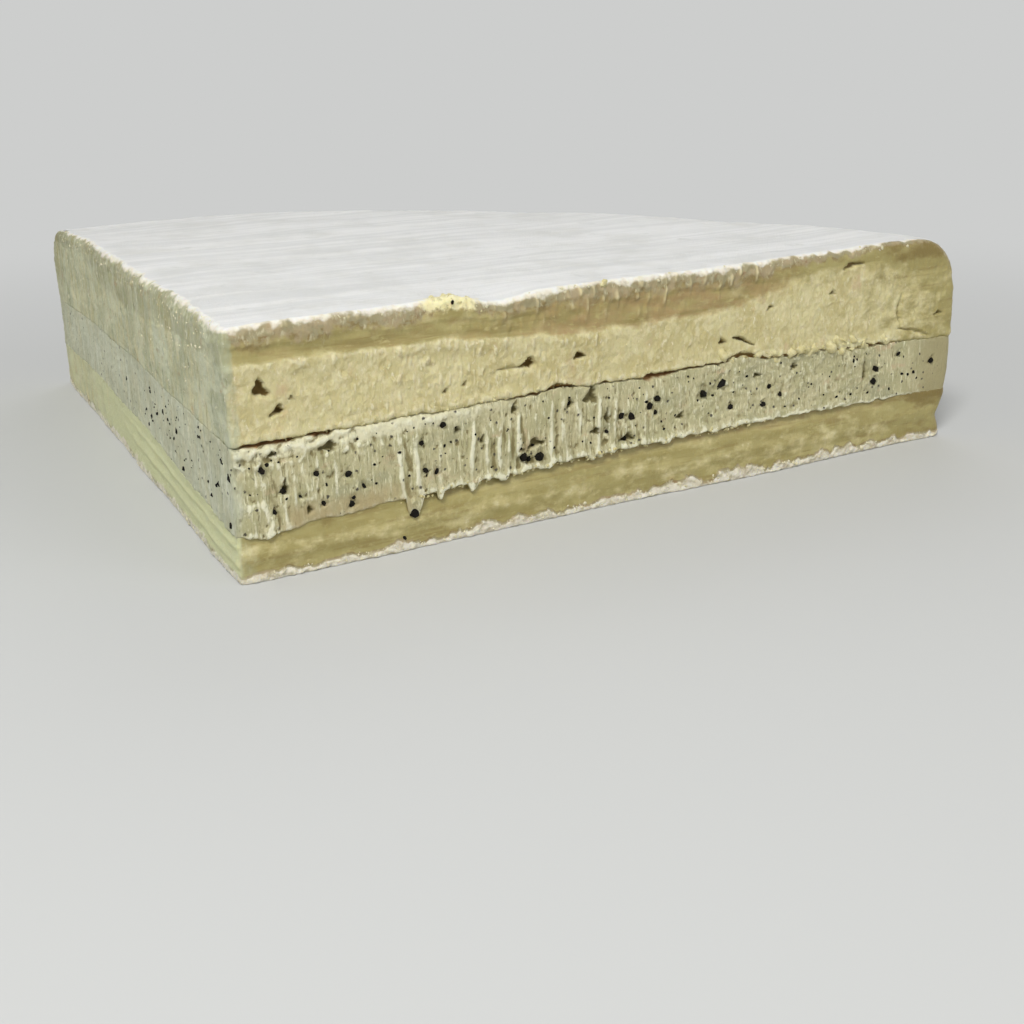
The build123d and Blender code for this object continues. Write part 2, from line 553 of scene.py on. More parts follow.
def ripe_end(at):
    """How far under the top the glassy ripe band gives way to chalky paste."""
    depth = np.interp(at.reach, (0, 30, 45, 60, 86, 100, 114, 135), (5.8, 6.0, 7.0, 8.1, 8.2, 5.6, 3.2, 3.6))
    return depth + 0.4 * grain(at.place, (9, 9, 40), 40) + 0.3 * grain(at.place, (3, 3, 6), 48)


def ripe_blur(at):
    """How far the border of the ripe band spreads each way, in millimetres."""
    return 1.3 * ramp(at.reach, 50, 88)


def upper_relief(at, holed=True):
    """How far the upper half's surface stands out, in millimetres, round the wedge."""
    under_top = top_level - at.height
    over_ripe_end = ripe_end(at) - under_top
    path, gape = crack(at)
    over_crack = at.height - path
    section = ramp(under_top + rind_wear(at) - rind_depth(at), 1.2, -0.8)
    ripe = ramp(under_top + 0.5 * rind_wear(at), 2.8, 3.8) * ramp(over_ripe_end, 0, 1.2)
    chalk = ramp(over_ripe_end, 0.7 + ripe_blur(at), -0.4 - ripe_blur(at))
    blotches = 0.2 * grain(at.place, (1.6, 1.6, 1.2), 33) + 0.13 * grain(at.place, (0.7, 0.7, 1.0), 34)
    scratches = 0.05 * grain(at.place, (0.6, 0.6, 4), 35) + 0.07 * grain(at.place, (1.6, 1.6, 8), 36)
    curd = 0.16 * grain(at.place, (2.4, 2.4, 1.8), 37) + 0.12 * grain(at.place, 0.8, 38)
    worked = ramp(at.reach, 12, 25) * ramp(at.reach, 75, 55)
    smears = (0.3 + 0.45 * worked) * np.clip(grain(at.place, (0.6, 0.6, 1.9), 39) - 0.3 + 0.1 * worked, 0, 1)
    tears = ramp(at.reach, 30, 48) * ramp(at.reach, 106, 96)
    torn = np.clip(grain(at.place, (1.0, 1.0, 3.4), 47) - 0.05, 0, 1) * tears * ramp(under_top, 8.0, 4.6)
    ledge = hump(over_ripe_end, -0.5, 1.1) * ramp(at.reach, 78, 50)
    right = section * blotches + chalk * (scratches + curd + smears) + 0.6 * torn
    right += ripe * (0.2 * grain(at.place, (5, 5, 1.6), 45) - 0.2 * ramp(at.reach, 140, 120)) + 0.25 * ledge
    right += hump(over_crack, 0.8, 0.7) * (0.16 + 0.3 * grain(at.place, (1.6, 1.6, 4), 41))
    for number, (reach, height, wide, tall, lean, depth) in enumerate(paste_holes if holed else []):
        right = right + hollow(at, reach, height, wide, tall, depth, 50 + number, lean)
    left = 0.14 * grain(at.place, (0.6, 0.6, 8), 42) + 0.1 * grain(at.place, (0.35, 0.35, 4), 43) + 0.8 * curd
    left += section * blotches * 1.4
    edge_bite = (0.5 + 0.5 * grain(on_floor(at), 1.8, 44)) * (0.6 + 0.7 * at.left) * hump(under_top, 0, 1.1)
    top_edge = (rounded_edge(under_top, 0.7) + edge_bite) * (1 - at.rim)
    return on_cuts(at, right, left) + at.rim * rim_swell(at) - top_edge - seam(at, over_crack, gape)


def top_swell(points):
    """The slow rise and fall of the top rind, and the faint lines that the drying rack pressed into it."""
    along = (points[:, :2] - [0, axis_y]) @ way_to(right_way)
    across = (points[:, :2] - [0, axis_y]) @ way_to(right_way + pi / 2)
    slow = 0.45 * grain(points, 34, 61) + 0.18 * grain(points, 10, 62)
    far_left = np.hypot(along - rim_radius * cos(2 * half_angle), across - rim_radius * sin(2 * half_angle))
    slow += 1.3 * hump(np.hypot(along - rim_radius, across), 0, 34) - 2.0 * hump(far_left, 0, 30)
    slow -= 1.0 * hump(along, 44, 5) * hump(across, 0, 6)
    slow += (0.55 + 0.45 * grain(points, 1.6, 64)) * hump(along, 36, 4.5) * ramp(across, 3.2, 0.9)
    lines = grain(np.column_stack([along, across, 0 * along]), (46, 3.4, 1), 63)
    return slow + 0.08 * lines


def risen(at):
    """Height of points round the wedge, with the swell of the top carried on into the side under it."""
    carried_down = 7
    return at.height + top_swell(on_floor(at)) * ramp(at.height, top_level - carried_down, top_level)


def on_top(plan):
    """Gives points of a plan their height on the top rind."""
    flat = np.column_stack([plan, np.zeros(len(plan))])
    return flat + np.outer(top_level + top_swell(flat), [0, 0, 1])


side, relief, side_points, lower_edge, _ = raised_side(
    low=cream_roof(rim_radius),
    high=top_level,
    rise=0.28,
    run=0.8,
    bottom=lambda at: crack_lip(at, 0.3),
    top=lambda at: top_level,
    relief=upper_relief,
)
rows = len(relief) // stations
side_points[:, 2] = risen(side)
opened = lower_edge - cream_roof(side.reach[:stations])
seam_rings = drawn_in(side_points[:stations], cream_roof, opened, ((3.4, 0.0), (1.0, 0.3)))
top_rings = [on_top(inset(side_points[-stations:, :2], depth)) for depth in (0.4, 0.9, 1.6, 2.4)]


rim_rind_depth = 1.6
no_rind_under = 5.5  # this far under the top the rind's section has ended everywhere


def from_rim(at):
    """How far in from the rim the points lie."""
    return np.interp(at.height, rim_line[:, 1], rim_line[:, 0]) - at.reach


# What the paste's material reads at each point: how far through the rind's section it lies, how ripe it is,
# how deep it lies in a hole or the crack, how much grey-green film and painted cool shade it has, how far it
# stands out, how brown its glassy part is, and how much paste was wiped over it
in_from_rim = from_rim(side)
under_top = top_level - side.height
rind_share = (under_top + 0.8 * rind_wear(side)) / rind_depth(side)
rind_share = np.minimum(rind_share, in_from_rim / rim_rind_depth + 0.15)
rind_share = np.maximum(rind_share, under_top / no_rind_under)
ripeness_and_painted_light = ramp(ripe_end(side) - under_top, -0.2 - ripe_blur(side), 0.9 + ripe_blur(side)) * 0.95
ripeness_and_painted_light = np.clip(ripeness_and_painted_light + 0.4 * ramp(in_from_rim, 42, 10), 0, 1) + 0.5 * ramp(in_from_rim, 22, 0)
smooth_part = (side.right + side.left) * knife_wander(side) + side.rim * rim_swell(side)
sunk = np.clip((smooth_part - relief - 0.4) / 0.9, 0, 1) * side.right * ramp(under_top, 1, 2)
seam_path, seam_gape = (np.tile(part, rows) for part in crack(spots(side.place[:stations, :2], 0)))
in_crack = side.right * ramp(side.height - seam_path, 0.35, 0.0) * ramp(seam_gape, 0.1, 0.4) * 2
sunk = np.maximum(sunk, in_crack)


def left_film_and_cool_shade(at):
    """How much grey-green is painted on. On the left-hand cut it is painted shade of a cooler light on that
    side; near the tip, and round it onto the right-hand cut, it is also a pale film of smeared paste.
    """
    round_the_tip = ramp(at.reach + 0.6 * grain(at.place, 1.5, 77), 3.4 - 0.05 * at.height, 1.2)
    return at.left * (0.75 + 0.2 * ramp(at.reach, 16, 2)) + 0.7 * at.right * round_the_tip


def standing_out(relief, around=4):
    """How far each point of a side stands out from the points around it, in millimetres."""
    grid, span = relief.reshape(-1, stations), range(-around, around + 1)
    smooth = np.mean([np.roll(grid, k, 1) for k in span], axis=0)
    smooth = np.pad(smooth, ((around, around), (0, 0)), mode="edge")
    return (grid - np.mean([smooth[around + k : around + k + len(grid)] for k in span], axis=0)).ravel()


film_and_cool_shade = left_film_and_cool_shade(side)
proud = standing_out(upper_relief(side, holed=False))
tint = side.right * (0.4 + 0.4 * ramp(side.reach, 35, 60)) * ramp(side.reach, 112, 92)
smeared = side.right * hump(side.reach, 36, 5.0)
smear_on_top = np.tile(smeared[-stations:], 4) * np.repeat((1.0, 1.0, 0.8, 0.35), stations)
smeared = smeared * ramp(under_top, 3.0, 0.6)


def patches(tree, size, low, high, detail=4.0, roughness=0.6):
    """A mask of cloudy patches, 0 under `low` and 1 over `high`. `size` is how many millimetres they are
    across, one number or one for each axis."""
    place = add(tree, "ShaderNodeTexCoord").outputs["Object"]
    cells = add(tree, "ShaderNodeMapping", {"Vector": place, "Scale": tuple(1 / mm / (np.ones(3) * size))})
    inputs = {"Vector": cells.outputs[0], "Scale": 1.0, "Detail": detail, "Roughness": roughness}
    cloud = add(tree, "ShaderNodeTexNoise", inputs).outputs[0]
    inputs = {"Value": cloud, "From Min": low, "From Max": high}
    return add(tree, "ShaderNodeMapRange", inputs, interpolation_type="SMOOTHSTEP").outputs[0]


def worn(tree, field, low, high, size=1.0, wear=0.0):
    """A mask from a number that the mesh carries, its border worn by patches of that size."""
    carried = add(tree, "ShaderNodeAttribute", attribute_name=field).outputs["Fac"]
    if wear:
        inputs = {0: patches(tree, size, 0.2, 0.8), 1: wear, 2: carried}
        carried = add(tree, "ShaderNodeMath", inputs, operation="MULTIPLY_ADD").outputs[0]
    inputs = {"Value": carried, "From Min": low + wear / 2, "From Max": high + wear / 2}
    return add(tree, "ShaderNodeMapRange", inputs, interpolation_type="SMOOTHSTEP").outputs[0]


def coated(tree, ground, coats):
    """A ground colour under coats of colour. Each coat ends with a hex colour or a pattern of colour. It
    starts with its mask: a socket, or what `worn` takes for a number that the mesh carries, or what `patches`
    takes."""
    for *mask, colour in coats:
        if isinstance(mask[0], str):
            mask = [worn(tree, *mask)]
        elif len(mask) > 1:
            mask = [patches(tree, *mask)]
        below, above = [linear(c) if isinstance(c, str) else c for c in (ground, colour)]
        ground = add(tree, "ShaderNodeMix", {0: mask[0], 6: below, 7: above}, data_type="RGBA").outputs[2]
    return ground


# Bloomy rind: a felt of white mould on the paste. Matt and velvety, with sheen at the edge of view, and the
# wire rack's lines showing faintly as long grey streaks; the felt itself is drawn about twice as coarse.
felt_grain, mottle_size, rack_spacing, rack_length = 0.55, 11.0, 2.6, 60.0
rind, tree, rind_shader = new_material(
    "bloomy_white_rind",
    {
        "Roughness": 0.92,
        "Specular IOR Level": 0.25,
        "Sheen Weight": 0.25,
        "Sheen Roughness": 0.4,
        "Subsurface Weight": 0.15,
        "Subsurface Radius": (1.0, 0.85, 0.6),
        "Subsurface Scale": 1.2 * mm,
    },
)
place = add(tree, "ShaderNodeTexCoord").outputs["Object"]
lengthways = add(tree, "ShaderNodeMapping", {"Vector": place, "Rotation": (0, 0, -right_way)}).outputs[0]
rack_scale = (1 / rack_length / mm, 1 / rack_spacing / mm, 1 / rack_length / mm)
racked = add(tree, "ShaderNodeMapping", {"Vector": lengthways, "Scale": rack_scale}).outputs[0]
rack = {"Vector": racked, "Scale": 1.0, "Detail": 3.0, "Roughness": 0.6}
rack = add(tree, "ShaderNodeTexNoise", rack).outputs[0]
rack_line = add(tree, "ShaderNodeMapRange", {"Value": rack, "From Min": 0.62, "From Max": 0.38}).outputs[0]
streak = add(tree, "ShaderNodeMath", {0: rack_line, 1: 0.6}, operation="MULTIPLY").outputs[0]
felt = patches(tree, felt_grain, 0.25, 0.75, 4.0, 0.7)
white = coated(
    tree,
    "#ecece9",
    [
        (mottle_size, 0.42, 0.75, 5.0, "#dadad4"),
        ((5, 5, 2.5), 0.58, 0.8, 5.0, "#cfd0ca"),
        (1.4, 0.6, 0.8, "#f1f1ef"),
        (streak, "#d3d4d1"),
        ("smeared", 0.3, 0.8, 1.3, 0.6, "#ede4b2"),
    ],
)
tree.links.new(white, rind_shader.inputs["Base Color"])
lines = add(tree, "ShaderNodeBump", {"Height": rack, "Distance": 0.4 * mm, "Strength": 0.5}).outputs[0]
felted = {"Height": felt, "Distance": 0.16 * mm, "Strength": 0.9, "Normal": lines}
tree.links.new(add(tree, "ShaderNodeBump", felted).outputs[0], rind_shader.inputs["Normal"])


# Brie paste: curd that ripens from the rind inwards. Pale, dry and chalky in the middle; glassier, darker and
# smoother towards the rind; the rind's own section is greyish with brown patches. Light goes into it.
# Crests are painted lighter and hollows darker: painted highlight and painted shade.
paste, tree, paste_shader = new_material(
    "ripened_brie_paste",
    {
        "Subsurface Weight": 0.25,
        "Subsurface Radius": (1.0, 0.75, 0.35),
        "Subsurface Scale": 1.5 * mm,
        "IOR": 1.44,
    },
)
glassy = coated(
    tree,
    "#9d9159",
    [
        ((9, 9, 3), 0.35, 0.65, "#a99e66"),
        ((16, 16, 1.5), 0.52, 0.68, "#b1a56e"),
        ("tint", 0.2, 1.3, (5, 5, 2.2), 0.8, "#a78c60"),
        ((16, 16, 1.3), 0.46, 0.32, "#978853"),
        ((2, 2, 0.9), 0.58, 0.72, "#b4a872"),
        # darkest where ripe passes 1: near the rim, and on the lower half right under the cream, where it is
        # also painted shade of the cream's overhang
        ("ripe", 1.0, 1.5, (5, 5, 2.2), 0.6, "#85743f"),
    ],
)
rind_cut = coated(
    tree,
    "#9c9370",
    [
        ("rind_share", 0.6, 0.95, (1.3, 1.3, 1), 0.9, "#8d7b4f"),
        ((3.4, 3.4, 2.4), 0.45, 0.6, "#a89875"),
        ((2.2, 2.2, 1.4), 0.58, 0.7, "#927a55"),
        ((0.8, 0.8, 1.7), 0.56, 0.68, "#bab190"),
    ],
)
# Grey-green of the left-hand cut: painted cool shade of that side, and near the tip a pale film of smeared
# paste
film_and_shade_colour = coated(
    tree,
    "#adb090",
    [
        ((10, 10, 7), 0.42, 0.6, "#c8cbad"),
        ("ripe", 0.2, 1.5, (9, 9, 7), 0.9, "#989873"),
        ((1.1, 1.1, 9), 0.5, 0.7, 5.0, 0.65, "#c6c8ac"),
        ((0.7, 0.7, 5), 0.44, 0.3, 5.0, 0.65, "#848868"),
        ((6, 6, 4), 0.6, 0.74, "#a38c6c"),
        ((2.5, 2.5, 2), 0.6, 0.72, "#cfcfb2"),
        ((0.6, 0.6, 1), 0.64, 0.74, "#e0e0c8"),
    ],
)
body = coated(
    tree,
    "#cabd86",
    [
        (9, 0.35, 0.65, 5.0, "#dad09d"),
        ((4, 4, 6), 0.58, 0.74, "#d3bf94"),
        ((1.6, 1.6, 2.2), 0.42, 0.68, 5.0, 0.65, "#e3d9ab"),
        ((0.7, 0.7, 1.5), 0.6, 0.72, 4.0, 0.65, "#eee6c4"),
        # painted highlight on points that stand out from their neighbours, and painted shade on those that
        # lie below them
        ("proud", 0.05, 0.25, 0.8, 0.1, "#f1e9c2"),
        ("proud", -0.08, -0.3, 0.8, 0.1, "#b5a674"),
        ("ripe", 0.1, 0.9, (4, 4, 2.4), 0.8, glassy),
        ("rind_share", 1.25, 0.7, (1.6, 1.6, 2.0), 0.7, rind_cut),
        # painted highlight on the crests of the ripe band and of the rind's section
        ("proud", 0.08, 0.4, 0.8, 0.1, "#d3c79c"),
        # grey-green on the left-hand cut: painted cool shade, with a film of smeared paste near the tip
        ("film_and_cool_shade", 0.1, 1.0, (2.5, 2.5, 9), 0.6, film_and_shade_colour),
        # pale grey-green where tint is below zero, on the lower half's left-hand cut: painted cool light on
        # that side
        ("tint", -0.1, -1.0, (3, 3, 5), 0.5, "#ced0a2"),
        ("rind_share", 0.34, 0.1, (1.6, 1.6, 1.2), 0.24, "#e1dbc9"),
        ("rind_share", 0.14, 0.0, (1.3, 1.3, 1.2), 0.15, "#e6e5de"),
        ("smeared", 0.25, 0.75, 1.3, 0.6, "#ebe2b0"),
        # holes painted dark olive-brown: partly the paste's browner inside, partly painted shade of the hole
        ("sunk", 0.2, 0.8, 1.0, 0.3, "#7d6736"),
        # the crack's inside painted reddish brown: partly a brown stain, partly painted shade of the crack
        ("sunk", 1.1, 1.8, "#a57d4e"),
    ],
)
tree.links.new(body, paste_shader.inputs["Base Color"])
dryness = worn(tree, "ripe", 0.9, 0.1, (5, 5, 2.2), 0.5)
paste_roughness = add(tree, "ShaderNodeMapRange", {"Value": dryness, "To Min": 0.42, "To Max": 0.72})
tree.links.new(paste_roughness.outputs[0], paste_shader.inputs["Roughness"])
crumbliness = add(tree, "ShaderNodeMapRange", {"Value": dryness, "To Min": 0.2, "To Max": 0.9}).outputs[0]
crumbly = patches(tree, (0.5, 0.5, 0.8), 0.2, 0.8, 6.0, 0.7)
crumbly = {"Height": crumbly, "Distance": 0.2 * mm, "Strength": crumbliness}
crumbly = add(tree, "ShaderNodeBump", crumbly).outputs[0]
scraped = patches(tree, (0.4, 0.4, 5), 0.2, 0.8)
scraped = {"Height": scraped, "Distance": 0.1 * mm, "Strength": 0.5, "Normal": crumbly}
tree.links.new(add(tree, "ShaderNodeBump", scraped).outputs[0], paste_shader.inputs["Normal"])

rim_face = facing_rim > 0.5
hidden_pitch = 9  # of the mesh where layers lie on each other
upper_half = closed_piece(
    "brie_upper_half",
    seam_rings,
    side_points,
    top_rings,
    fill(seam_rings[0], hidden_pitch, hidden_pitch, laid_on(cream_roof)),
    fill(top_rings[-1], along=2.4, across=1.0, laid=on_top),
    {
        "rind_share": (rind_share, 3, 0),
        "ripe": (ripeness_and_painted_light, 0.4, 0),
        "sunk": (sunk, 2.0, 0),
        "film_and_cool_shade": (film_and_cool_shade, 0, 0),
        "proud": (proud, 0, 0),
        "tint": (tint, 0, 0),
        "smeared": (smeared, 0, smear_on_top),
    },
    [paste, rind],
    lambda row, station: rim_face[station] | (row >= len(seam_rings) + rows - 1),
)
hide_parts("upper_half")
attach(upper_half, "root")


# Truffle cream: fresh cream cheese with chopped truffle, spread on the lower half before the wheel was
# closed. The knife dragged it downwards into upright ridges, and its lower edge hangs ragged over the paste.

# where it hangs down over the paste: distance from the tip, drop, half width
drips = [
    (28.4, 3.6, 1.45), (32.9, 1.7, 0.6), (38.9, 1.7, 0.9), (44.4, 1.2, 1.0), (52.3, 0.9, 1.6),
    (61.3, 1.2, 0.7), (62.9, 1.0, 0.6), (76.4, 1.1, 1.1), (69.5, 0.5, 1.5),
]
# thin crests that the knife drew down the right-hand cut: distance from the tip, how far they stand out
crests = [
    (10.6, 0.2), (22.4, 0.2), (33.2, 0.25), (38.9, 0.45), (43.8, 0.3), (47.1, 0.35), (53.3, 0.35),
    (55.2, 0.25), (62.5, 0.35), (66.0, 0.3), (72.0, 0.2),
]


def cream_edge(at):
    """Height of the cream's ragged lower edge."""
    flat = on_floor(at)
    ragged = 0.2 + 0.6 * np.clip(grain(flat, 2.6, 71) + 0.2, 0, 1) + 0.4 * np.clip(grain(flat, 0.8, 72), 0, 1)
    for reach, drop, half_width in drips:
        across = np.clip(np.abs(at.reach - reach) / half_width, 0, 1)
        ragged = np.maximum(ragged, drop * (1 - across**4) + 0.15 * grain(flat, 0.5, 74))
    smoothed = 1.6 * hump(at.reach, 4, 3)
    low_edge = at.right * (ragged + smoothed * 0.3) * ramp(at.reach, 0.5, 2)
    return cream_floor(at.reach) - low_edge - at.left * 0.3 * np.abs(grain(flat, 4, 73))


# chopped truffle on the right-hand cut: distance from the tip, height, size
truffle_right = [
    (4.5, 16.8, 1.8), (12.8, 15.0, 1.2), (17.8, 14.1, 1.5), (7.4, 13.2, 1.4), (13.7, 10.2, 1.1),
    (18.2, 9.3, 1.4), (28.3, 6.0, 2.0), (30.1, 16.8, 1.2), (34.1, 19.0, 1.6), (30.6, 12.4, 1.4),
    (32.7, 11.9, 1.4), (20.3, 11.7, 1.2), (47.8, 13.0, 1.1), (48.3, 11.5, 2.2), (51.3, 10.9, 2.6),
    (49.4, 10.9, 1.4),
    (57.1, 19.0, 1.2), (67.3, 15.4, 1.5), (69.2, 15.0, 1.6), (64.3, 13.2, 1.2), (68.2, 11.2, 1.9),
    (74.6, 17.3, 1.5), (73.0, 16.3, 1.6), (74.3, 14.9, 1.4), (84.4, 16.8, 2.4), (88.1, 17.9, 2.6),
    (101.6, 14.2, 1.4), (97.5, 13.0, 1.4), (90.3, 13.6, 1.5), (99.0, 16.0, 1.2), (124.8, 15.6, 1.9),
    (124.6, 13.4, 1.8), (130.5, 17.7, 1.5), (138.9, 15.5, 1.4), (6.0, 10.2, 1.1), (10.1, 12.0, 0.9),
]
# holes in the cream there: distance from the tip, height, half width, half height
cream_pits = [
    (15.0, 18.7, 1.1, 0.7), (7.9, 13.6, 0.4, 1.0), (50.6, 13.4, 1.3, 0.7), (57.0, 19.0, 0.45, 0.8),
    (6.3, 18.9, 0.6, 0.4), (61.2, 19.6, 1.1, 1.2), (64.4, 15.8, 0.4, 1.1), (68.6, 11.4, 1.3, 0.5),
    (46.6, 19.6, 0.5, 0.7), (11.4, 9.6, 0.4, 0.6), (36.4, 17.8, 0.45, 0.4), (40.8, 15.6, 0.35, 0.6),
    (62.0, 13.6, 0.8, 0.5), (79.5, 13.6, 0.6, 0.5), (122.0, 15.8, 0.35, 2.3), (96.0, 18.4, 0.8, 0.35),
    (104.5, 18.8, 0.5, 0.5),
]


def fold(points, lump, seed):
    """Sharp-crested ridges, from 1 on a crest to -0.7 in the deepest valley."""
    return 1 - 1.7 * np.abs(grain(points, lump, seed)) ** 0.65


def cream_relief(at, holed=True):
    """How far the cream's surface stands out, in millimetres, round the wedge."""
    path, gape = crack(at)
    under_crack = path - at.height
    over_edge = at.height - cream_edge(at)
    over_floor = at.height - cream_floor(at.reach)
    lean = 0.06 * at.height + 0.5 * grain(at.place, (7, 7, 5), 80)
    leaning = at.place + np.column_stack([at.radial * lean[:, None], 0 * at.height])
    pulled = 0.31 * fold(leaning, (3.0, 3.0, 15), 81) + 0.16 * fold(leaning, (1.15, 1.15, 7), 82)
    threads = 0.15 * fold(leaning, (0.6, 0.6, 4), 83)
    for reach, stand in crests:
        aside = at.reach - reach + 0.06 * (14 - at.height) + 0.4 * grain(at.place, (5, 5, 4), 78)
        pulled = pulled + stand * hump(aside, 0, 0.38) * ramp(under_crack, 0.8, 3)
    dragged = ramp(at.reach, 0, 3) * ramp(at.reach, 100, 64) * ramp(under_crack, 0.3, 3.5)
    dragged *= np.clip(0.8 + 0.8 * grain(at.place, (9, 9, 7), 84), 0.35, 1.3)
    smeared = ramp(over_floor, 3.6, 2.2) * ramp(at.reach, 30, 24) * ramp(at.reach, 8, 11)
    dragged *= 1 - 0.85 * smeared
    curdled = ramp(at.reach, 27, 18) * ramp(under_crack, 4.5, 2.6)
    curdled = curdled + 0.45 * ramp(at.reach, 66, 88) * ramp(at.reach, 134, 118)
    lumps = 0.21 * np.tanh(3 * grain(at.place, (1.7, 1.7, 1.1), 85)) + 0.16 * grain(at.place, 0.75, 86)
    lumps += 0.1 * grain(at.place, 0.42, 89)
    pores = -1.5 * np.clip(grain(at.place, (0.6, 0.6, 0.8), 87) - 0.4, 0, 1)
    right = dragged * (pulled + threads) + curdled * lumps
    right += 0.55 * pores * (1 - smeared) * ramp(at.reach, 100, 60)
    right += 0.05 * grain(leaning, (0.5, 0.5, 3), 75) * (1 - smeared)
    groove = at.reach - 0.1 * (14 - at.height) - 27.6
    rails = 0.32 * hump(groove, -1.4, 0.5) - 0.38 * hump(groove, 0, 0.9) + 0.36 * hump(groove, 1.5, 0.42)
    rails *= 0.8 + 0.6 * grain(at.place, (2, 2, 2.5), 79)
    right += rails * ramp(at.height, 19, 14) * ramp(at.height, 6.5, 9)
    right += 0.45 * hump(at.reach, 28.4, 1.6) * ramp(at.height, 9.5, 6.5)
    flake = ramp(at.reach + 0.35 * (at.height - 10), 5.8, 5.3) * ramp(at.reach, 1.2, 2.4)
    flake *= ramp(over_floor, 5.5, 4.5)
    right += 0.3 * flake * (1 - 0.7 * curdled)
    right += 0.3 * ramp(over_edge, 2.2, 0.5) * ramp(at.reach, 24, 34) * ramp(at.reach, 128, 110)
    right += 0.35 * hump(under_crack, 0.9, 0.7) * ramp(at.reach, 60, 30) * (0.5 + grain(at.place, 1.5, 76))
    for number, (reach, height, wide, tall) in enumerate(cream_pits if holed else []):
        right = right + hollow(at, reach, height, wide, tall, 1.1, 90 + number)
    for number, (reach, height, size) in enumerate(truffle_right if holed else []):
        right = right + hollow(at, reach, height, 0.55 * size, 0.55 * size, 0.28, 120 + number)
    left = 0.14 * grain(at.place, (0.6, 0.6, 8), 88) + 0.5 * (pulled + threads - 0.1) * ramp(at.reach, 42, 6)
    left += 0.3 * lumps
    hanging = rounded_edge(over_edge, 0.35) + 0.3 * ramp(over_floor, -0.4, -2.2)
    rim = at.rim * (rim_swell(at) - 0.3)
    return on_cuts(at, right, left) + rim - seam(at, under_crack, gape) - hanging * at.right


side, relief, side_points, lower_edge, upper_edge = raised_side(
    low=cream_floor(rim_radius),
    high=cream_roof(rim_radius),
    rise=0.2,
    run=0.3,
    bottom=cream_edge,
    top=lambda at: crack_lip(at, -0.7),
    relief=cream_relief,
)
hung = lower_edge - cream_floor(side.reach[:stations])
opened = upper_edge - cream_roof(side.reach[-stations:])
floor_rings = drawn_in(side_points[:stations], cream_floor, hung, ((4.0, 0.0), (2.0, 0.85)))
roof_rings = drawn_in(side_points[-stations:], cream_roof, opened, ((1.0, 0.3), (3.4, 0.0)))

# What the cream's material reads at each point: how far it stands out, how deep it lies in a pit, how near
# the rim it is, how thinly it was smeared, how curdy it is, and how much grey-green film and painted cool
# shade it has
unholed = cream_relief(side, holed=False)
proud = standing_out(unholed) * (1 - 0.75 * side.rim)
pitted = np.clip((unholed - relief - 0.1) / 0.5, 0, 1)
rim_near = ramp(rim_radius - side.reach, 16, 3) * (1 - side.rim)
over_floor = side.height - cream_floor(side.reach)
smear = 0.75 * side.right * ramp(over_floor, 4.6, 0.8) * ramp(side.reach, 34, 22) * ramp(side.reach, 6.5, 9)
seam_path, _ = crack(spots(side.place[-stations:, :2], 0))
under_crack = np.tile(seam_path, len(relief) // stations) - side.height
curdy = side.right * ramp(under_crack, 3.6, 1.4) * ramp(side.reach, 60, 25)
film_and_cool_shade = left_film_and_cool_shade(side) * (1 - 0.3 * ramp(side.reach, 12, 2))

# Cream cheese: pale and nearly matt, greyish where the knife smeared it thin, with painted highlight on its
# crests and painted shade in its valleys and pits, and with dust of truffle through it. The dust is drawn
# about twice as coarse as it is.
cream, tree, cream_shader = new_material(
    "truffle_cream_cheese",
    {
        "Roughness": 0.55,
        "Subsurface Weight": 0.15,
        "Subsurface Radius": (1.0, 0.85, 0.6),
        "Subsurface Scale": 0.6 * mm,
    },
)
dust_spacing = 1.9
place = add(tree, "ShaderNodeTexCoord").outputs["Object"]
dust = {"Vector": place, "Scale": 1 / dust_spacing / mm, "Randomness": 1.0}
dust = add(tree, "ShaderNodeTexVoronoi", dust).outputs["Distance"]
dust = {0: patches(tree, 0.5, 0.2, 0.8), 1: 0.16, 2: dust}
dust = add(tree, "ShaderNodeMath", dust, operation="MULTIPLY_ADD").outputs[0]
dust = add(tree, "ShaderNodeMapRange", {"Value": dust, "From Min": 0.23, "From Max": 0.16}).outputs[0]
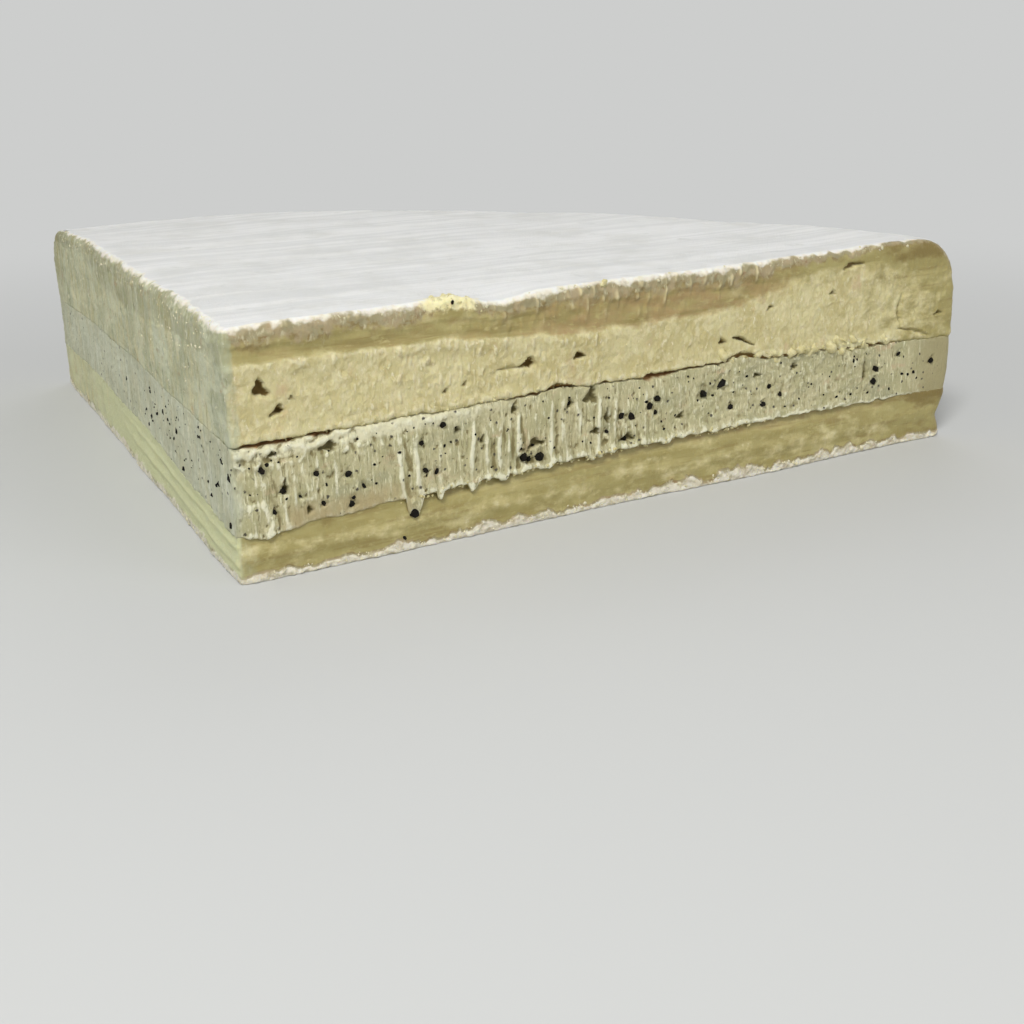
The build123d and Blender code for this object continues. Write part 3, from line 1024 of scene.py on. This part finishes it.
# Grey-green of the left-hand cut: painted cool shade of that side, and near the tip a pale film of smeared
# cream
cream_film_and_shade = coated(
    tree,
    "#b9bca1",
    [
        ((12, 12, 8), 0.42, 0.62, "#c8cbb1"),
        ((1.1, 1.1, 9), 0.5, 0.7, 5.0, 0.65, "#d9dbc6"),
        ((0.7, 0.7, 5), 0.42, 0.3, 5.0, "#92957a"),
    ],
)
creamy = coated(
    tree,
    "#b8b387",
    [
        ((4, 4, 4), 0.35, 0.65, "#cac298"),
        ((8, 8, 5), 0.5, 0.66, "#b0ac86"),
        ((5, 5, 3), 0.58, 0.72, "#ccb891"),
        ((0.7, 0.7, 2.2), 0.54, 0.68, 4.0, 0.65, "#e0dbb2"),
        ((0.4, 0.4, 3.2), 0.56, 0.7, 3.0, "#e5e2bf"),
        ((0.5, 0.5, 2.6), 0.42, 0.3, 3.0, "#968d64"),
        ("curdy", 0.3, 1.0, 1.2, 0.4, "#e7e2be"),
        # painted highlight on the crests, and painted shade in the valleys between them
        ("proud", 0.04, 0.18, 0.7, 0.1, "#efecce"),
        ("proud", -0.03, -0.2, 0.7, 0.1, "#8b8054"),
        ("rim_near", 0.0, 1.0, (4, 4, 3), 0.5, "#aca277"),
        ("smear", 0.1, 1.0, (1.2, 1.2, 2.5), 0.6, "#b6a67a"),
        # grey-green on the left-hand cut: painted cool shade, with a film near the tip
        ("film_and_cool_shade", 0.1, 1.0, (2.5, 2.5, 9), 0.6, cream_film_and_shade),
        (dust, "#4b4638"),
        # pits painted darker olive: painted shade in the pits
        ("pitted", 0.1, 0.8, 0.8, 0.2, "#7d7449"),
        # the cream's edge inside the crack painted reddish brown: partly a brown stain, partly painted shade
        # of the crack
        ("sunk", 0.2, 0.8, "#a57d4e"),
    ],
)
tree.links.new(creamy, cream_shader.inputs["Base Color"])
curds = patches(tree, (0.45, 0.45, 0.9), 0.2, 0.8, 6.0, 0.7)
curds = add(tree, "ShaderNodeBump", {"Height": curds, "Distance": 0.2 * mm, "Strength": 0.8}).outputs[0]
drawn = patches(tree, (0.4, 0.4, 5), 0.2, 0.8)
drawn = {"Height": drawn, "Distance": 0.18 * mm, "Strength": 0.5, "Normal": curds}
tree.links.new(add(tree, "ShaderNodeBump", drawn).outputs[0], cream_shader.inputs["Normal"])

cream_layer = closed_piece(
    "truffle_cream_layer",
    floor_rings,
    side_points,
    roof_rings,
    fill(floor_rings[0], hidden_pitch, hidden_pitch, laid_on(cream_floor)),
    fill(roof_rings[-1], hidden_pitch, hidden_pitch, laid_on(cream_roof)),
    {
        "proud": (proud, 0, 0),
        "rim_near": (rim_near, 0, 0),
        "smear": (smear, 0, 0),
        "pitted": (pitted, 0, 0),
        "curdy": (curdy, 0, 0),
        "film_and_cool_shade": (film_and_cool_shade, 0, 0),
        "sunk": (0 * proud, 0, 1),
    },
    [cream],
)
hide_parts("truffle_cream")
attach(cream_layer, "root")


# Lower half: the thinner slab, riper and glassier than the upper one. The knife pulled it in under the cream,
# and drew soft lines along it. Its rind is a thin white line with torn tufts where it stands.
def tufts(at):
    """How far the torn rind stands up the cut face from the floor."""
    flat = on_floor(at)
    where = 0.7 + 0.4 * grain(flat, 14, 101) + 0.3 * ramp(at.reach, 15, 30) * ramp(at.reach, 128, 115)
    broad, fine = np.clip(grain(flat, 2.4, 102) + 0.5, 0, 1), np.clip(grain(flat, 0.8, 103), 0, 1)
    return 0.6 + where * (1.5 * broad + 0.7 * fine)


def lower_relief(at):
    """How far the lower half's surface stands out, in millimetres, round the wedge."""
    under_cream = cream_floor(at.reach) - at.height
    lines = 0.07 * grain(at.place, (30, 30, 1.9), 104) + 0.02 * grain(at.place, (15, 15, 0.7), 105)
    lumps = 0.13 * grain(at.place, (5, 5, 2.2), 106) + 0.05 * grain(at.place, (1.3, 1.3, 0.9), 111)
    pulled = ramp(under_cream, 3.0, 0.4) * ramp(at.reach, 138, 122) * (0.3 + 0.7 * ramp(at.reach, 24, 36))
    broad = 0.22 * hump(at.height, 4.0 + 0.01 * at.reach, 1.3)
    tuft = ramp(tufts(at) - at.height, -0.15, 0.25)
    fuzz = 0.3 * np.clip(grain(at.place, (0.9, 0.9, 0.8), 107) + 0.2, 0, 1) + 0.12 * grain(at.place, 0.5, 112)
    right = lines + lumps + broad - 0.6 * pulled + tuft * (0.15 + fuzz)
    pressed = 0.3 * hump(at.height, 3.0 + 0.03 * at.reach, 0.7)
    pressed = pressed + 0.22 * hump(at.height, 5.6 + 0.03 * at.reach, 0.5)
    left = 0.5 * lines + lumps + pressed * ramp(at.reach, 100, 50) + tuft * 0.6 * (0.1 + fuzz)
    rim = at.rim * rim_swell(at) * ramp(at.height, 0, 3)
    return on_cuts(at, right, left) + rim - rounded_edge(at.height, 0.4)


def on_base(plan):
    """Gives points of a plan their height on the lower rind, which is hollow in places."""
    flat = np.column_stack([plan, np.zeros(len(plan))])
    hollow_by = np.clip(0.12 + 0.15 * grain(flat, (9, 9, 9), 108) + 0.1 * grain(flat, 2.5, 109), 0, 1)
    return flat + np.outer(hollow_by, [0, 0, 1])


side, relief, side_points, _, _ = raised_side(
    low=0,
    high=cream_floor(rim_radius),
    rise=0.2,
    run=0.35,
    bottom=lambda at: 0 * at.reach,
    top=lambda at: cream_floor(at.reach),
    relief=lower_relief,
)
base_rings = drawn_in(side_points[:stations], lambda reach: 0 * reach, 0, ((2.0, 0), (0.8, 0)))
roof_rings = drawn_in(side_points[-stations:], cream_floor, 0, ((3.0, 0),))
in_from_rim = from_rim(side)
tuft = tufts(side)
rind_share = np.where(side.height < tuft, 0.14 + 0.06 * side.height / tuft, 0.2 + (side.height - tuft) * 2)
rind_share = np.minimum(rind_share, in_from_rim / rim_rind_depth + 0.15)
under_cream = cream_floor(side.reach) - side.height
# Riper and glassier right under the cream and near the rim. The darker band right under the cream is also
# painted shade of the cream's overhang, and the paler band at mid-height is a painted highlight along the
# broad ridge
ripeness_and_painted_light = 0.85 + 0.3 * ramp(under_cream, 2.6, 0.4) - 0.25 * hump(side.height, 4.4, 1.6)
ripeness_and_painted_light = ripeness_and_painted_light * (1 - 0.75 * side.left) + 0.4 * ramp(in_from_rim, 20, 4)
film_and_cool_shade = 0.75 * left_film_and_cool_shade(side)
# tint: browner glassy paste under the cream on the right-hand cut; below zero on the left-hand cut, which is
# painted pale grey-green there as painted cool light on that side
tint = 0.6 * side.right * ramp(under_cream, 3.2, 0.6) * ramp(side.reach, 45, 75)
tint -= side.left * ramp(side.height, 0.5, 2) * (0.5 + 0.5 * ramp(side.reach, 120, 70))
proud = standing_out(relief)

lower_half = closed_piece(
    "brie_lower_half",
    base_rings,
    side_points,
    roof_rings,
    fill(base_rings[0], along=3.0, across=1.3, laid=on_base),
    fill(roof_rings[-1], hidden_pitch, hidden_pitch, laid_on(cream_floor)),
    {
        "rind_share": (rind_share, 0, 3),
        "ripe": (ripeness_and_painted_light, 0, 1),
        "film_and_cool_shade": (film_and_cool_shade, 0, 0),
        "proud": (proud, 0, 0),
        "tint": (tint, 0, 0),
    },
    [paste, rind],
    lambda row, station: rim_face[station] | (row < len(base_rings)),
)
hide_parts("lower_half")
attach(lower_half, "root")


# Chopped truffle: black, with rough cut faces. The pieces were stirred into the cream, and the knife laid
# them bare. The larger ones on the right-hand cut lie in small pits of their own.
def on_cut(reach, height, relief, way=right_way, side=-1):
    """Points that lie on a cut face with its relief, and how the face looks outwards there."""
    reach, height = np.asarray(reach, float), np.asarray(height, float)
    here, none = np.ones(len(reach)), np.zeros(len(reach))
    plan = np.outer(reach, way_to(way)) + [0, axis_y]
    radial = np.tile(way_to(way), (len(reach), 1))
    sides = (here, none) if side < 0 else (none, here)
    spot = Spot(reach, height, np.column_stack([plan, height]), radial, *sides, none)
    out = way_to(way + side * pi / 2)
    points = np.column_stack([plan + relief(spot)[:, None] * out, risen(spot)])
    return points, np.array([*out, 0])


def scattered(name, places, sizes, squash, roughness, seed, material, roundness=1):
    """One mesh of many small lumps, each turned its own way. The flattest is `squash` times as thick as it is
    wide."""
    ball = bmesh.new()
    bmesh.ops.create_icosphere(ball, subdivisions=roundness, radius=0.5)
    shape = np.array([v.co for v in ball.verts])
    shape_faces = np.array([[v.index for v in f.verts] for f in ball.faces])
    ball.free()
    chance = np.random.default_rng(seed)
    points, faces = [], []
    for place, size in zip(places, sizes):
        lump = shape * (1 + roughness * chance.uniform(-1, 1, (len(shape), 1)))
        turned, _ = np.linalg.qr(chance.normal(size=(3, 3)))
        if np.linalg.det(turned) < 0:
            turned[:, 0] *= -1
        thin = np.diag([1, chance.uniform(squash, 1), chance.uniform(squash, 1)])
        faces.append(shape_faces + len(points) * len(shape))
        points.append(place + size * lump @ thin @ turned)
    mesh = bpy.data.meshes.new(name)
    mesh.from_pydata((np.vstack(points) * mm).tolist(), [], np.vstack(faces).tolist())
    mesh.polygons.foreach_set("use_smooth", np.full(len(mesh.polygons), roundness > 1))
    mesh.materials.append(material)
    made = in_scene(name, mesh)
    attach(made, "root")
    return made


truffle, tree, truffle_shader = new_material("black_truffle", {"Roughness": 0.6, "Specular IOR Level": 0.12})
veined = coated(tree, "#110f0a", [(0.5, 0.5, 0.7, "#241d13"), (0.3, 0.68, 0.75, "#463d28")])
tree.links.new(veined, truffle_shader.inputs["Base Color"])

# chopped truffle on the left-hand cut, and on the corner at the tip: distance from the tip, height, size
truffle_left = [
    (16.6, 18.4, 1.5), (31.6, 15.4, 1.6), (28.4, 10.2, 1.2), (16.5, 20.0, 1.0), (8.0, 13.4, 1.4),
    (2.2, 15.7, 1.9), (2.6, 8.6, 1.4), (12.0, 10.5, 1.0), (40.0, 17.0, 1.5), (52.0, 13.2, 1.8),
    (71.0, 16.0, 1.5),
]
# crumbs of truffle all along the cream of the right-hand cut, most of them small. Every other one comes again
# on the left-hand cut, closer together and nearer to the tip.
chance = np.random.default_rng(7)
crumbs, first_crumb, last_crumb = 110, 2, 136
smallest, largest = 0.35, 0.95
crumb_reach = chance.uniform(first_crumb, last_crumb, crumbs)
crumb_height = chance.uniform(0.12, 0.92, crumbs) * (cream_roof - cream_floor)(crumb_reach)
crumb_height = cream_floor(crumb_reach) + crumb_height
crumb_size = smallest + (largest - smallest) * chance.random(crumbs) ** 2
chips, chip_sizes = [], []
for (reach, height, size), way, side, sunk_in in (
    (np.array(truffle_right).T, right_way, -1, 0.1),
    (np.array(truffle_left).T, left_way, 1, 0.2),
    ((crumb_reach, crumb_height, crumb_size), right_way, -1, 0.15),
    ((0.4 * crumb_reach[::2] + 3, crumb_height[::2], crumb_size[::2]), left_way, 1, 0.2),
):
    places, out = on_cut(reach, height, lambda at: np.maximum(cream_relief(at), lower_relief(at)), way, side)
    chips.append(places - sunk_in * size[:, None] * out)
    chip_sizes.append(size)
# one more chip on the lower half, and one in the paste that was wiped over the top edge
chips.append(on_cut([26.5], [2.3], lower_relief)[0])
chip_sizes.append([0.9])
chips.append(on_cut([36.1], [37.0], upper_relief)[0] + [0.15, -0.15, 0.2])
chip_sizes.append([0.8])
chips, chip_sizes = np.vstack(chips), np.concatenate(chip_sizes)
truffle_chips = scattered(
    "chopped_truffle", chips, chip_sizes, squash=0.55, roughness=0.22, seed=11, material=truffle
)


# Crumbs and torn curd: bits that the knife broke off and dragged along, cream-coloured on the cuts, white
# where they come from the rind. They cling to the top edges, the crack and the torn rind at the foot.

# Broken curd: moist and a little translucent, so that thin edges glow
curd, tree, curd_shader = new_material(
    "broken_curd",
    {
        "Roughness": 0.6,
        "Subsurface Weight": 0.2,
        "Subsurface Radius": (1.0, 0.8, 0.45),
        "Subsurface Scale": 0.8 * mm,
    },
)
tree.links.new(coated(tree, "#c9be8a", [(1.2, 0.4, 0.65, "#dad1a2")]), curd_shader.inputs["Base Color"])
chance = np.random.default_rng(23)


def along(
    count, low_reach, high_reach, low, high, relief, small, large,
    way=right_way, side=-1, base=lambda reach: 0,
):
    """Places for crumbs on a stretch of a cut, between two heights above `base`, with their sizes."""
    reach = chance.uniform(low_reach, high_reach, count)
    height = base(reach) + low + (high - low) * chance.random(count) ** 1.4
    size = small + (large - small) * chance.random(count) ** 2
    places, out = on_cut(reach, height, relief, way, side)
    return places - 0.2 * size[:, None] * out, size


def smeared_edge(count, low_reach, high_reach):
    """Places for paste that the knife wiped over the top edge of the right-hand cut, with its sizes."""
    reach = chance.triangular(low_reach, (low_reach + high_reach) / 2, high_reach, count)
    wiped_height, hangs_down = 37.6, 1.3
    places, out = on_cut(reach, np.full(count, wiped_height), upper_relief)
    over = chance.uniform(-0.3, 2.2, count)
    places = places - over[:, None] * out + [0, 0, 0.1] + np.outer(ramp(over, 0.8, -0.3), [0, 0, -hangs_down])
    return places, chance.uniform(0.5, 1.5, count)


curd_spots = [
    along(100, 88, 127, -0.9, 1.6, upper_relief, 0.7, 2.5, base=cream_roof),
    along(50, 8, 60, -0.5, 1.2, upper_relief, 0.3, 0.9, base=cream_roof),
    along(110, 24, 100, -0.8, 0.4, cream_relief, 0.3, 0.8, base=cream_floor),
    along(60, 20, 75, 22.5, 29.5, upper_relief, 0.25, 0.6),
    along(3, 62.8, 63.8, 37.2, 37.9, upper_relief, 0.9, 1.4),
    smeared_edge(40, 30, 41.5),
]
places, sizes = (np.concatenate(part) for part in zip(*curd_spots))
curd_crumbs = scattered(
    "curd_crumbs", places, sizes, squash=0.4, roughness=0.3, seed=31, material=curd, roundness=2
)

# Torn rind: dry felt, matt and off-white, and yellower where paste still clings to it
torn_rind, tree, torn_shader = new_material("torn_rind", {"Roughness": 0.85, "Specular IOR Level": 0.25})
torn_colour = coated(tree, "#d2cba9", [(1.5, 0.45, 0.65, "#e0dac2"), (3, 0.55, 0.7, "#c4ba92")])
tree.links.new(torn_colour, torn_shader.inputs["Base Color"])
rind_spots = [
    along(120, 3, 134, 0.4, 1.6, lower_relief, 0.3, 1.0),
    along(80, 5, 140, 0.4, 1.3, lower_relief, 0.3, 0.8, left_way, 1),
    along(40, 2, 132, 36.9, 37.9, upper_relief, 0.3, 0.8),
    along(150, 4, 132, 35.2, 37.8, upper_relief, 0.2, 0.7, left_way, 1),
    along(40, 9, 40, 29.5, 35.5, upper_relief, 0.2, 0.8, left_way, 1),
    along(40, 4, 60, 22.5, 36, upper_relief, 0.25, 0.6, left_way, 1),
]
places, sizes = (np.concatenate(part) for part in zip(*rind_spots))
widest = 0.65  # half the width of the widest crumb, as a share of its size, which keeps it above the floor
places[:, 2] = np.maximum(places[:, 2], widest * sizes)
rind_crumbs = scattered(
    "rind_crumbs", places, sizes, squash=0.4, roughness=0.3, seed=37, material=torn_rind, roundness=2
)
